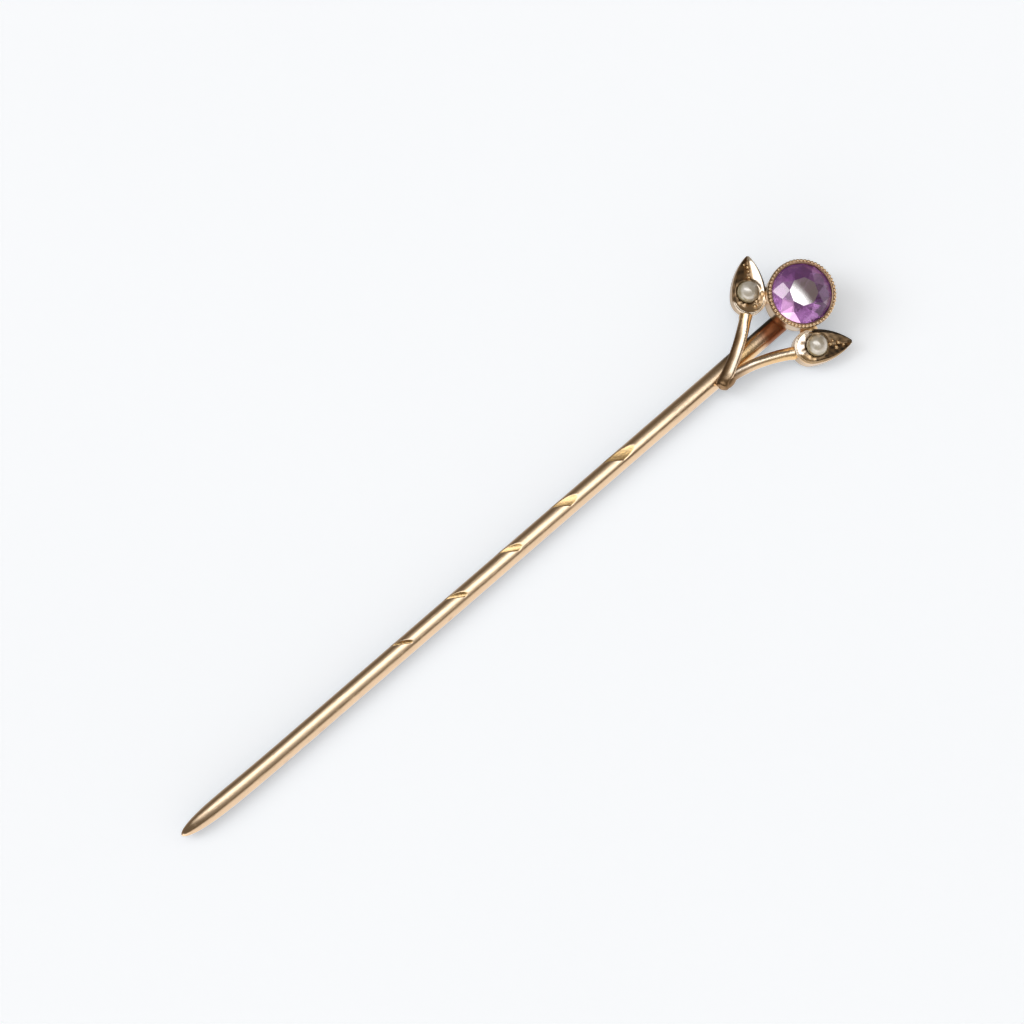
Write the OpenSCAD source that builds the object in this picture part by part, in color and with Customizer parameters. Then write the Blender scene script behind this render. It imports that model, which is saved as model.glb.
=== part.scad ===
// Gold stick pin: a round stem with a point and grip scoops, a forked stalk with
// two leaf settings, and a round collet, with an amethyst and two seed pearls.
// Millimetres. It lies as it rests on a table: stem along +X, point at -X, +Z up.

/* [Stem] */
// Diameter of the stem along its plain stretch
stem_d = 1.3; // [1:0.05:1.8]
// Diameter of the stem at the head, where its slight taper ends
stem_head_d = 1.32; // [1.3:0.01:1.4]
// Distance along the stem from the tip of the point to the stone's centre
stone_x = 54.47; // [46:0.1:70]
// Length of the tapered point
point_len = 4.9; // [3:0.1:8]
// Length of the plain stretch behind the point, which a clutch slides on
plain_len = 12.4; // [8:0.1:16]
// How far the stem runs on past the stone's centre, behind the collet
stem_end_past = 1.9; // [1.2:0.1:2.1]
// Width of the squared underside of the stem's end, hidden below the collet
seat_w = 1; // [0.9:0.05:1.1]
// Length of that squared underside
seat_len = 2.6; // [1.6:0.1:2.8]

/* [Grip scoops] */
// Number of scoops cut in the stem's face
scoop_count = 5; // [1:1:6]
// Distance from the tip to the scoop that is nearest the head
scoop_first = 37.6; // [32:0.1:42]
// Spacing of the scoops
scoop_pitch = 4.7; // [3:0.1:5.5]
// Where the scoops lie round the stem, from the front towards the left
scoop_side = 31; // [0:1:90]
// Slant of each scoop across the stem
scoop_slant = 37; // [20:1:70]
// Depth of a scoop at its steep wall
scoop_depth = 0.17; // [0.08:0.01:0.25]
// Radius of the floor of the scoop nearest the head, the widest
scoop_r = 3; // [1:0.1:5]
// Radius of the floor of the scoop nearest the point, the narrowest
scoop_last_r = 0.2; // [0.15:0.01:1]

/* [Collet] */
// Radius of the collet's wall at its foot
collet_foot_r = 2.18; // [2.05:0.01:2.3]
// Radius of the collet's wall at the rim
collet_rim_r = 2.34; // [2.28:0.01:2.5]
// Height of the foot of the collet above the stem's axis
collet_foot_h = 0.5; // [0.35:0.01:0.55]
// Height of the rim above the stem's axis
collet_rim_h = 2.54; // [2.48:0.01:2.7]
// Radius of the open back under the seat
collet_bore_r = 1.7; // [1.4:0.01:1.8]
// Radius of one millegrain bead
millegrain_r = 0.115; // [0.08:0.005:0.12]
// Spacing of the millegrain beads along the rim
millegrain_pitch = 0.247; // [0.245:0.001:0.4]

/* [Amethyst] */
// Diameter of the stone at the girdle
stone_d = 4.0; // [3.6:0.01:4.1]
// Diameter of the table across its corners
table_d = 1.95; // [1.4:0.01:2.6]
// Height of the crown
crown_h = 0.62; // [0.4:0.01:0.9]
// Thickness of the girdle
girdle_h = 0.06; // [0.03:0.01:0.1]
// Depth of the pavilion
pavilion_h = 1.4; // [1:0.01:1.5]
// Turn of the stone in its collet
stone_turn = -10; // [-22:1:22]
// Height of the girdle above the stem's axis
girdle_at_h = 2.32; // [2.27:0.01:2.37]

/* [Leaf settings] */
// Width of a leaf
leaf_w = 2.36; // [2.2:0.01:2.5]
// Length of a leaf from its round end to its tip
leaf_len = 4.1; // [3.4:0.01:4.6]
// Thickness of the left leaf at its border
left_leaf_h = 0.9; // [0.75:0.01:1.2]
// Thickness of the right leaf at its border
right_leaf_h = 1.12; // [0.75:0.01:1.2]
// Height of the leaf's back above the stem's axis
leaf_back_h = 0.4; // [0.25:0.01:0.5]
// Angle of the left leaf's axis from the head's axis
left_leaf_angle = 39; // [25:1:50]
// Angle of the right leaf's axis from the head's axis
right_leaf_angle = 43; // [25:1:50]
// How far the left leaf is set in from its pearl's centre, towards the stone
left_leaf_in = 0.12; // [0:0.01:0.18]
// How far the right leaf is set out from its pearl's centre
right_leaf_out = 0.01; // [0:0.01:0.15]
// Width of the raised border
border_w = 0.2; // [0.12:0.01:0.3]
// Depth of the recessed field inside the border
recess_h = 0.22; // [0.1:0.01:0.3]

/* [Pearls] */
// Diameter of a pearl
pearl_d = 1.5; // [1.2:0.01:1.55]
// How far each pearl sits behind the stone's centre
pearl_back = 1.93; // [1.7:0.01:2.1]
// How far the left pearl sits to the side of the stone's centre
left_pearl_out = 2.87; // [2.85:0.01:3.2]
// How far the right pearl sits to the side of the stone's centre
right_pearl_out = 2.95; // [2.85:0.01:3.2]
// Height of a pearl's centre above the leaf's border
pearl_rise = 0.15; // [0:0.01:0.3]
// Distance of a pearl in front of the centre of the leaf's round end
pearl_fore = 0.35; // [0.1:0.01:0.4]

/* [Forked stalk] */
// Diameter of the wire of the left arm
left_arm_d = 0.8; // [0.5:0.01:0.9]
// Diameter of the wire of the right arm
right_arm_d = 0.82; // [0.5:0.01:0.9]
// Diameter of the rounded foot
foot_d = 1.0; // [0.9:0.01:1.2]
// Diameter of the neck that joins the two arms to the foot
neck_d = 0.92; // [0.8:0.01:1]
// Length of the neck
neck_len = 0.9; // [0.3:0.01:1.4]
// How far the foot lies behind the stone's centre
foot_back = 7.68; // [6.5:0.01:9]
// How far the foot lies to the left of the head's axis
foot_left = 0.43; // [0.2:0.01:0.6]
// Height of the wire's centre above the stem's axis
arm_h = 0.9; // [0.8:0.01:0.95]
// How far each arm meets its leaf to the outer side of the pearl's centre
arm_out = 0.17; // [0:0.01:0.25]
// Turn of the left arm along its curve
left_arm_turn = 15; // [8:1:40]
// Turn of the right arm along its curve
right_arm_turn = 28; // [8:1:40]

/* [Lie] */
// How far the stone's centre lies to the left of the stem's axis
head_left = 0.49; // [0.3:0.01:0.6]
// Turn of the whole head to the left of the stem
head_yaw = 11.1; // [6:0.1:12]
// Gap between a stone or pearl and the gold round it
setting_gap = 0.04; // [0.02:0.005:0.06]

/* [Hidden] */

ROUND = 48;
OUTLINE_STEPS = 12;
POINT_STEPS = 6;
FOLD = 8;
GOLD = [0.83, 0.62, 0.42];
PURPLE = [0.46, 0.26, 0.55];
NACRE = [0.93, 0.90, 0.84];

// Leaf grains: distance from the pearl's centre towards the tip, as a share of the leaf's
// length, then distance to the outer side and radius, as shares of half its width
LEFT_GRAINS = [
    [0.25, -0.15, 0.13], [0.35, -0.14, 0.1], [0.42, -0.1, 0.13],
    [0.455, 0.13, 0.085], [-0.24, -0.44, 0.135],
];
RIGHT_GRAINS = [
    [0.235, -0.02, 0.13], [0.33, 0.23, 0.13], [0.385, -0.04, 0.12],
    [0.46, 0.12, 0.095], [-0.225, -0.25, 0.1], [-0.225, 0.14, 0.1],
];
// Where a grain's centre lies over the recessed field, as a share of its radius
GRAIN_RISE = 0.15;
// How much further the field stops short of the tip than of the sides
TIP_SHARE = 2.2;
// Radius at which two keels of the pavilion meet, as a share of the stone's radius
KEEL_SHARE = 0.28;

LIP_UNDER = 0.06;
LIP_DROP = 0.06;
RIM_ROUND = 0.1;
SOLDER_R = 0.5;
SOLDER_DROP = 0.12;
// How far the solder stays back from the wall of a pearl's seat
SOLDER_CLEAR = 0.03;
ARM_BITE = 0.15;
CUT_PAST = 1;
END_BEVEL = 0.15;
SEAT_RISE = 0.01;

stem_r = stem_d / 2;
stem_head_r = stem_head_d / 2;
plain_end = point_len + plain_len;
stone_r = stone_d / 2;
table_r = table_d / 2;
pearl_r = pearl_d / 2;
leaf_r = leaf_w / 2;
millegrain_ring_r = collet_rim_r - millegrain_r + 0.01;
millegrain_count = floor(2 * PI * millegrain_ring_r / millegrain_pitch);

// Outline of a leaf round the centre of its round end, with the tip towards +X:
// a round end of radius r, and two long arcs that leave it level and meet at the tip
function tip_arc_r(r, reach) = (reach * reach + r * r) / (2 * r);
function outline_side(r, reach) =
    let (big = tip_arc_r(r, reach), sweep = asin(reach / big))
    [for (i = [0 : OUTLINE_STEPS - 1])
        let (t = sweep * (1 - i / OUTLINE_STEPS)) [big * sin(t), big * cos(t) - (big - r)]];
function round_end(r) =
    [for (i = [0 : OUTLINE_STEPS]) let (t = 90 + 180 * i / OUTLINE_STEPS) [r * cos(t), r * sin(t)]];
function leaf_outline(r, reach) =
    let (side = outline_side(r, reach), last = len(side) - 1)
    concat(side, round_end(r), [for (i = [last : -1 : 1]) [side[i][0], -side[i][1]]]);

// A point of the left leaf (side 1) or the right leaf (side -1), given from the centre
// of the leaf's round end and seen from the stone
function leaf_turn(side) = side > 0 ? left_leaf_angle : right_leaf_angle;
function pearl_side(side) = side > 0 ? left_pearl_out : right_pearl_out;
function leaf_shift(side) = side > 0 ? -left_leaf_in : right_leaf_out;
function leaf_h(side) = side > 0 ? left_leaf_h : right_leaf_h;
function leaf_top_h(side) = leaf_back_h + leaf_h(side);
function field_h(side) = leaf_top_h(side) - recess_h;
function pearl_h(side) = leaf_top_h(side) + pearl_rise;
function leaf_spot(p, side) =
    let (u = p[0] - pearl_fore, v = p[1] + leaf_shift(side), t = leaf_turn(side))
    [-pearl_back + u * cos(t) - v * sin(t), side * (pearl_side(side) + u * sin(t) + v * cos(t))];
// A point seen from the stone, at height h over the stem's axis, in the stem's frame
function from_stone(p, h) =
    [stone_x + p[0] * cos(head_yaw) - p[1] * sin(head_yaw),
     head_left + p[0] * sin(head_yaw) + p[1] * cos(head_yaw), h];

leaf_edge = leaf_outline(leaf_r, leaf_len - leaf_r);
right_edge_y = [for (p = leaf_edge) from_stone(leaf_spot(p, -1), 0)[1]];
left_edge_y = [for (p = leaf_edge) from_stone(leaf_spot(p, 1), 0)[1]];

// The pin rolls to the right until the back edge of the right leaf meets the table
reach_down = -min(right_edge_y);
roll = atan2(leaf_back_h, reach_down) + asin(stem_head_r / norm([leaf_back_h, reach_down]));

// The middle of the whole pin, seen from above
bead_ends = [for (i = [0 : millegrain_count - 1])
    millegrain_ring_r * cos(360 * i / millegrain_count + head_yaw)];
far_x = stone_x + max(collet_rim_r, max(bead_ends) + millegrain_r);
low_y = min(right_edge_y) * cos(roll) - leaf_top_h(-1) * sin(roll);
high_y = max(left_edge_y) * cos(roll) - leaf_back_h * sin(roll);
middle = [far_x / 2, (low_y + high_y) / 2];

module at_rest() {
    translate([-middle[0], -middle[1], stem_head_r]) rotate([roll, 0, 0]) children();
}

module at_head() {
    translate([stone_x, head_left, 0]) rotate([0, 0, head_yaw]) children();
}

module at_leaf(side) {
    mirror([0, side < 0 ? 1 : 0, 0])
        translate([-pearl_back, pearl_side(side), 0])
            rotate([0, 0, leaf_turn(side)]) children();
}

// The round bar, turned in one with its point, which swells from the tip along an ogive
module stem_bar() {
    end_x = stone_x + stem_end_past;
    swell = [for (i = [0 : POINT_STEPS])
        let (s = i / POINT_STEPS) [stem_r * sqrt(1 - pow(1 - s, 3)), point_len * s]];
    rotate([0, 90, 0]) rotate_extrude($fn = ROUND)
        polygon(concat(swell, [[stem_r, plain_end], [stem_head_r, end_x - END_BEVEL],
                               [stem_head_r - END_BEVEL, end_x], [0, end_x]]));
}

// A scoop: steep on the side of the point, with a floor that runs out towards the head
module scoop(r) {
    rotate([-scoop_side, 0, 0]) rotate([0, 0, -scoop_slant])
        intersection() {
            translate([0, 0, stem_r + r - scoop_depth]) rotate([0, 90, 0])
                cylinder(h = 4 * stem_d, r = r, center = true, $fn = ROUND);
            translate([-2 * stem_d, 0, 0]) cube([4 * stem_d, 2 * r, 2 * r + stem_d]);
        }
}

module scoops() {
    for (i = [0 : scoop_count - 1])
        translate([scoop_first - i * scoop_pitch, 0, 0])
            scoop(scoop_r * pow(scoop_last_r / scoop_r, i / max(1, scoop_count - 1)));
}

// The squared underside of the stem's end, on which the pin rests without rocking
module stem_seat() {
    translate([stone_x + stem_end_past - 2 * END_BEVEL - seat_len, 0, 0]) rotate([-roll, 0, 0])
        translate([0, -seat_w / 2, SEAT_RISE - stem_head_r])
            cube([seat_len, seat_w, stem_head_r - SEAT_RISE]);
}

module stem() {
    difference() {
        stem_bar();
        scoops();
    }
    stem_seat();
}

// An arc of wire of diameter d from p to q, turning by turn degrees about a centre on the given side
module arc_wire(p, q, d, turn, side) {
    chord = norm(q - p);
    r = chord / (2 * sin(turn / 2));
    left = [p[1] - q[1], q[0] - p[0]] / chord;
    centre = (p + q) / 2 + side * left * r * cos(turn / 2);
    start = (side > 0 ? p : q) - centre;
    translate([centre[0], centre[1], 0]) rotate([0, 0, atan2(start[1], start[0])])
        rotate_extrude(angle = turn, $fn = ROUND) translate([r, 0]) circle(d = d, $fn = ROUND);
}

module forked_stalk() {
    foot = [-foot_back, foot_left];
    translate([0, 0, arm_h]) {
        translate([foot[0], foot[1], 0]) {
            sphere(d = foot_d, $fn = ROUND);
            rotate([0, 90, 0]) cylinder(h = neck_len, d = neck_d, $fn = ROUND);
        }
        arc_wire(foot, leaf_spot([ARM_BITE - leaf_r, arm_out], 1), left_arm_d, left_arm_turn, 1);
        arc_wire(foot, leaf_spot([ARM_BITE - leaf_r, arm_out], -1), right_arm_d, right_arm_turn, -1);
    }
}

module collet_wall() {
    rotate_extrude($fn = ROUND) polygon([
        [0, collet_foot_h], [collet_foot_r, collet_foot_h],
        [collet_rim_r, collet_rim_h - 2 * RIM_ROUND],
        [collet_rim_r - RIM_ROUND / 2, collet_rim_h - RIM_ROUND / 2],
        [collet_rim_r - 2 * RIM_ROUND, collet_rim_h],
        [0, collet_rim_h],
    ]);
}

// The room for the stone: the rubbed-over lip, the girdle's groove, the seat and the open back
module collet_room() {
    room_r = stone_r + setting_gap;
    lip_r = stone_r - LIP_UNDER;
    over_h = girdle_at_h + girdle_h / 2 + setting_gap + LIP_UNDER * crown_h / (stone_r - table_r);
    under_h = girdle_at_h - girdle_h / 2 - setting_gap;
    seat_drop = (room_r - collet_bore_r) * pavilion_h / stone_r;
    rotate_extrude($fn = ROUND) polygon([
        [0, collet_foot_h - CUT_PAST], [collet_bore_r, collet_foot_h - CUT_PAST],
        [collet_bore_r, under_h - seat_drop], [room_r, under_h],
        [room_r, girdle_at_h + girdle_h / 2], [lip_r, over_h],
        [lip_r, collet_rim_h - LIP_DROP], [lip_r + 2 * LIP_DROP, collet_rim_h],
        [lip_r + 2 * LIP_DROP, collet_rim_h + CUT_PAST], [0, collet_rim_h + CUT_PAST],
    ]);
}

module millegrain() {
    for (i = [0 : millegrain_count - 1])
        rotate([0, 0, 360 * i / millegrain_count])
            translate([millegrain_ring_r, 0, collet_rim_h - RIM_ROUND / 2])
                sphere(r = millegrain_r, $fn = ROUND);
}

module collet() {
    difference() {
        collet_wall();
        collet_room();
    }
    millegrain();
}

// The solder between a leaf and the collet's wall, on the line from pearl to stone
module side_solder(side) {
    spot = leaf_spot([pearl_fore, -leaf_shift(side)], side);
    at = spot * (collet_rim_r / norm(spot));
    difference() {
        translate([at[0], at[1], leaf_back_h + SOLDER_DROP])
            cylinder(h = leaf_h(side) - 2 * SOLDER_DROP, r = SOLDER_R, $fn = ROUND);
        at_leaf(side) translate([0, 0, pearl_h(side)])
            sphere(r = pearl_r + setting_gap + SOLDER_CLEAR, $fn = ROUND);
    }
}

module leaf_plate(side) {
    inner_r = leaf_r - border_w;
    translate([-pearl_fore, leaf_shift(side), 0]) difference() {
        translate([0, 0, leaf_back_h])
            linear_extrude(leaf_h(side)) polygon(leaf_edge);
        translate([0, 0, field_h(side)]) linear_extrude(recess_h + CUT_PAST)
            polygon(leaf_outline(inner_r, leaf_len - leaf_r - TIP_SHARE * border_w));
    }
}

module grain(share, side) {
    r = share[2] * leaf_r;
    translate([share[0] * leaf_len, share[1] * leaf_r, field_h(side) + GRAIN_RISE * r])
        sphere(r = r, $fn = ROUND);
}

module leaf_setting(side, grains) {
    at_leaf(side) difference() {
        union() {
            leaf_plate(side);
            for (share = grains) grain(share, side);
        }
        translate([0, 0, pearl_h(side)]) sphere(r = pearl_r + setting_gap, $fn = ROUND);
    }
}

module gold_mount() {
    color(GOLD) at_rest() {
        stem();
        at_head() {
            forked_stalk();
            collet();
            leaf_setting(1, LEFT_GRAINS);
            leaf_setting(-1, RIGHT_GRAINS);
            side_solder(1);
            side_solder(-1);
        }
    }
}

// The brilliant cut: rings of corners, from the table down to the culet
function corners(count, r, h, turn) =
    [for (i = [0 : count - 1]) let (t = turn + 360 * i / count) [r * cos(t), r * sin(t), h]];
// Height on a main facet's plane, at radius r and half a fold away from its middle line
function main_h(r, edge_r, rise, top_r) =
    rise * (edge_r - r * cos(180 / FOLD)) / (edge_r - top_r);

module amethyst() {
    half = girdle_h / 2;
    star_r = (stone_r + table_r) / 2;
    keel_r = stone_r * KEEL_SHARE;
    ring = concat(
        corners(FOLD, table_r, crown_h + half, 0),
        corners(FOLD, star_r, main_h(star_r, stone_r, crown_h, table_r) + half, 180 / FOLD),
        corners(2 * FOLD, stone_r, half, 0),
        corners(2 * FOLD, stone_r, -half, 0),
        corners(FOLD, keel_r, -half - main_h(keel_r, stone_r, pavilion_h, 0), 180 / FOLD),
        [[0, 0, -half - pavilion_h]]);
    color(PURPLE) at_rest() at_head() translate([0, 0, girdle_at_h]) rotate([0, 0, stone_turn])
        hull() polyhedron(points = ring, faces = [for (i = [0 : len(ring) - 3]) [i, i + 1, i + 2]]);
}

module pearl(side) {
    color(NACRE) at_rest() at_head() at_leaf(side)
        translate([0, 0, pearl_h(side)]) sphere(r = pearl_r, $fn = ROUND);
}

gold_mount();
amethyst();
pearl(1);  // pearl_left
pearl(-1);  // pearl_right
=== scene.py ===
import math

import bmesh
import bpy
import numpy as np
from bpy.props import FloatProperty, FloatVectorProperty, IntProperty, PointerProperty
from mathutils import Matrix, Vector, noise


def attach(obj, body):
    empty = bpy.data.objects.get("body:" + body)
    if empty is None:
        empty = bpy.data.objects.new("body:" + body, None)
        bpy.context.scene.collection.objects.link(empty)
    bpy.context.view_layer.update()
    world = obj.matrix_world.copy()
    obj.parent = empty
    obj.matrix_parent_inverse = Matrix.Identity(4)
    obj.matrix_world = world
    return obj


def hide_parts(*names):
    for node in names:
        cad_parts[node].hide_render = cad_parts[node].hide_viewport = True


bl_info = {
    "name": "Stick pin",
    "version": (1, 0, 0),
    "blender": (4, 5, 0),
    "location": "3D View > Sidebar > Stick pin",
    "description": "Builds the dressed gold stick pin round its packed frame",
    "category": "Object",
}

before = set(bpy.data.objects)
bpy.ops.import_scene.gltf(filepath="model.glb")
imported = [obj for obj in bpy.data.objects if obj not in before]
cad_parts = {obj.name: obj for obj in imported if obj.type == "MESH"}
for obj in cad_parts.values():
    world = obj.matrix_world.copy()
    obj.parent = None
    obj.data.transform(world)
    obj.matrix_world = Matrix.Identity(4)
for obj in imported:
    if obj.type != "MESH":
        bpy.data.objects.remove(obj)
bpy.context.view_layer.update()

# Sizes below are in millimetres, and Blender's are in metres
MM = 0.001
BODY = "root"

# The lie of the pin: the stem's frame rolls about X, then moves to the middle of its box
ROLL = math.radians(14.3191)
REST = np.array([-28.4095, -0.0502, 0.66])


# Sizes a user may change

def length(name, description, default):
    return FloatProperty(name=name, description=description, default=default * MM,
                         unit="LENGTH", subtype="DISTANCE", precision=5)


def angle(name, description, default):
    return FloatProperty(name=name, description=description,
                         default=math.radians(default), unit="ROTATION", subtype="ANGLE")


def colour(name, description, default):
    return FloatVectorProperty(name=name, description=description, default=default,
                               subtype="COLOR", size=3, min=0, max=1)


class HeadPlace(bpy.types.PropertyGroup):
    stone_along: length("Stone along the stem", "From the tip of the point to the stone", 54.47)
    stone_left: length("Stone to the left", "From the stem's axis to the stone", 0.49)
    yaw: angle("Turn of the head", "Turn of the head to the left of the stem", 11.1)


class StemSizes(bpy.types.PropertyGroup):
    diameter: length("Diameter", "Thickness of the plain stem", 1.3)
    head_diameter: length("Diameter at the head", "Thickness where the taper ends", 1.32)
    end: length("Length", "From the tip to the far end behind the collet", 56.37)
    point: length("Point", "Length of the tapered point", 4.9)
    plain_end: length("Plain end", "Where the plain stretch ends and the taper starts", 17.3)
    bend: length("Bend", "How far the tip is bent to the left", 0.2)
    bend_from: length("Bent stretch", "Length of the stretch that is bent", 9.0)
    scoops: IntProperty(name="Scoops", description="Number of grip scoops", default=5)
    scoop_first: length("First scoop", "From the tip to the scoop nearest the head", 37.6)
    scoop_pitch: length("Scoop spacing", "Distance between scoops", 4.7)
    scoop_depth: length("Scoop depth", "Depth of a scoop at its steep wall", 0.17)
    scoop_side: angle("Scoop side", "Where the scoops lie round the stem", 31)
    scoop_slant: angle("Scoop slant", "Slant of a scoop across the stem", 37)


class StalkSizes(bpy.types.PropertyGroup):
    foot_back: length("Foot back", "How far the foot lies behind the stone", 7.68)
    foot_left: length("Foot left", "How far the foot lies left of the head's axis", 0.43)
    height: length("Height", "Height of the wire over the stem's axis", 0.9)
    neck: length("Neck", "Thickness of the neck at the foot", 0.98)
    left_end: length("Left arm", "Thickness of the left arm at its leaf", 0.86)
    right_end: length("Right arm", "Thickness of the right arm at its leaf", 0.84)


class ColletSizes(bpy.types.PropertyGroup):
    foot_radius: length("Foot radius", "Radius of the wall at its foot", 2.18)
    rim_radius: length("Rim radius", "Radius of the wall at the rim", 2.34)
    foot_height: length("Foot height", "Height of the foot over the stem's axis", 0.5)
    rim_height: length("Rim height", "Height of the rim over the stem's axis", 2.54)
    bead_radius: length("Bead radius", "Radius of one millegrain bead", 0.13)
    beads: IntProperty(name="Beads", description="Number of millegrain beads", default=56)


class StoneSizes(bpy.types.PropertyGroup):
    diameter: length("Diameter", "Diameter at the girdle", 4.08)
    table: length("Table", "Diameter of the table across its corners", 1.95)
    crown: length("Crown", "Height of the crown", 0.62)
    pavilion: length("Pavilion", "Depth of the pavilion", 1.4)
    girdle: length("Girdle height", "Height of the girdle over the stem's axis", 2.32)
    turn: angle("Turn", "Turn of the stone in its collet", -10)


class LeafSizes(bpy.types.PropertyGroup):
    width: length("Width", "Width of a leaf", 2.36)
    reach: length("Length", "Length of a leaf from its round end to its tip", 4.1)
    back: length("Back height", "Height of a leaf's back over the stem's axis", 0.4)
    left_thick: length("Left thickness", "Thickness of the left leaf", 0.9)
    right_thick: length("Right thickness", "Thickness of the right leaf", 1.12)
    left_turn: angle("Left turn", "Angle of the left leaf from the head's axis", 39)
    right_turn: angle("Right turn", "Angle of the right leaf from the head's axis", 43)


class PearlSizes(bpy.types.PropertyGroup):
    diameter: length("Diameter", "Diameter of a pearl", 1.5)
    back: length("Back", "How far each pearl sits behind the stone", 1.93)
    left_out: length("Left out", "How far the left pearl sits to the side", 2.87)
    right_out: length("Right out", "How far the right pearl sits to the side", 2.95)
    rise: length("Rise", "Height of a pearl's centre above the leaf's border", 0.15)
    fore: length("Fore", "Distance of a pearl in front of the round end's centre", 0.35)


class Finishes(bpy.types.PropertyGroup):
    rose: colour("Rose gold", "The gold where it is clean", (0.81, 0.60, 0.39))
    yellow: colour("Yellow gold", "The gold where it was soldered or filed", (0.87, 0.57, 0.22))
    # A paler gold that paints highlights on the polished facets and on the arms' ridges
    bright_cut: colour("Bright cut", "The gold on the polished facets", (0.95, 0.83, 0.68))
    # The red film also paints the shade where the stem runs under the head
    rust: colour("Rust red", "The red film on the stem behind the head", (0.34, 0.12, 0.05))
    # The tarnish and soot colours also paint shade and dark reflections where the pieces' marks use
    # them for that
    tarnish: colour("Tarnish", "The brown film in the hollows", (0.33, 0.20, 0.10))
    soot: colour("Soot", "The black grime along edges and in deep hollows", (0.05, 0.04, 0.03))
    pearl: colour("Pearl", "Nacre of the seed pearls", (0.68, 0.66, 0.60))
    # Painted shade and gold reflection on the lower part of each pearl, near the seat
    pearl_edge: colour("Pearl edge", "Nacre near the seat, where old glue shows",
                       (0.30, 0.25, 0.13))
    amethyst: colour("Amethyst", "Body colour of the stone", (0.30, 0.12, 0.34))
    amethyst_pale: colour("Pale zones", "Body colour of the stone's pale zones", (0.40, 0.20, 0.45))
    # Painted light that glows from some facets
    amethyst_glow: colour("Inner light", "Light that some facets send back", (0.95, 0.62, 0.82))
    surface: colour("Surface", "The white surface that the pin lies on", (0.845, 0.895, 0.95))


SIZE_GROUPS = {"head_place": HeadPlace, "stem": StemSizes, "stalk": StalkSizes,
               "collet": ColletSizes, "stone": StoneSizes, "leaf": LeafSizes,
               "pearl": PearlSizes, "finish": Finishes}


class PinSettings(bpy.types.PropertyGroup):
    head_place: PointerProperty(type=HeadPlace)
    stem: PointerProperty(type=StemSizes)
    stalk: PointerProperty(type=StalkSizes)
    collet: PointerProperty(type=ColletSizes)
    stone: PointerProperty(type=StoneSizes)
    leaf: PointerProperty(type=LeafSizes)
    pearl: PointerProperty(type=PearlSizes)
    finish: PointerProperty(type=Finishes)


class Sizes:
    """A property group read in millimetres, so that the shapes below are plain sums."""

    def __init__(self, group):
        self._group = group

    def __getattr__(self, name):
        value = getattr(self._group, name)
        prop = self._group.bl_rna.properties[name]
        return value / MM if prop.unit == "LENGTH" else value


def sizes(name):
    return Sizes(getattr(bpy.context.scene.stick_pin, name))


def finish(name):
    return tuple(getattr(bpy.context.scene.stick_pin.finish, name))


# Places

def turned(a, b, angle):
    """Two coordinates after a turn by an angle that takes the first towards the second."""
    c, s = math.cos(angle), math.sin(angle)
    return a * c - b * s, a * s + b * c


def on_stem(points):
    """Points of the stem's own frame, axis along X from the tip, in the row frame."""
    out = np.array(points, float)
    out[:, 1], out[:, 2] = turned(out[:, 1], out[:, 2], ROLL)
    return out + REST


def on_head(points):
    """Points seen from the stone's centre on the stem's axis height, in the row frame."""
    place = sizes("head_place")
    out = np.array(points, float)
    along, left = turned(out[:, 0], out[:, 1], place.yaw)
    out[:, 0], out[:, 1] = place.stone_along + along, place.stone_left + left
    return on_stem(out)


# How far each leaf's middle line lies off its pearl, towards the outer side
LEFT_SHIFT, RIGHT_SHIFT = -0.12, 0.01


def leaf_facts(side):
    """Turn, side distance of the pearl, outward shift and thickness of one leaf."""
    leaf, pearl = sizes("leaf"), sizes("pearl")
    if side > 0:
        return leaf.left_turn, pearl.left_out, LEFT_SHIFT, leaf.left_thick
    return leaf.right_turn, pearl.right_out, RIGHT_SHIFT, leaf.right_thick


def leaf_point(points, side):
    """Points of a leaf seen from its pearl, tip towards +X and outer side +Y, from the stone."""
    turn, out, _, _ = leaf_facts(side)
    placed = np.array(points, float)
    along, outwards = turned(placed[:, 0], placed[:, 1], turn)
    placed[:, 0] = -sizes("pearl").back + along
    placed[:, 1] = side * (out + outwards)
    return placed


def on_leaf(points, side):
    return on_head(leaf_point(points, side))


# Meshes

def smooth_step(t):
    t = np.clip(t, 0, 1)
    return t * t * (3 - 2 * t)


def piece(name, points, faces, material, node="gold_mount", marks=None,
          smooth=True, turn_out=True):
    """A finished piece of the pin: a mesh in place, with its marks as point attributes."""
    mesh = bpy.data.meshes.new(name)
    mesh.from_pydata([tuple(p) for p in np.asarray(points) * MM], [], [tuple(f) for f in faces])
    for mark, values in (marks or {}).items():
        layer = mesh.attributes.new(mark, "FLOAT", "POINT")
        layer.data.foreach_set("value", np.asarray(values, np.float32))
    if turn_out:
        turn_outwards(mesh)
    mesh.polygons.foreach_set("use_smooth", [smooth] * len(mesh.polygons))
    mesh.materials.append(material)
    mesh.update()
    obj = bpy.data.objects.new(name, mesh)
    bpy.context.scene.collection.objects.link(obj)
    hand_over(obj, node)
    return obj


def turn_outwards(mesh):
    work = bmesh.new()
    work.from_mesh(mesh)
    bmesh.ops.remove_doubles(work, verts=work.verts, dist=1e-8)
    bmesh.ops.recalc_face_normals(work, faces=work.faces)
    work.to_mesh(mesh)
    work.free()


def taken(work):
    """Points and faces of a work mesh, which is freed."""
    points = np.array([v.co for v in work.verts])
    faces = [[v.index for v in f.verts] for f in work.faces]
    work.free()
    return points, faces


def hand_over(obj, node):
    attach(obj, BODY)
    if node:
        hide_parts(node)


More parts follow.
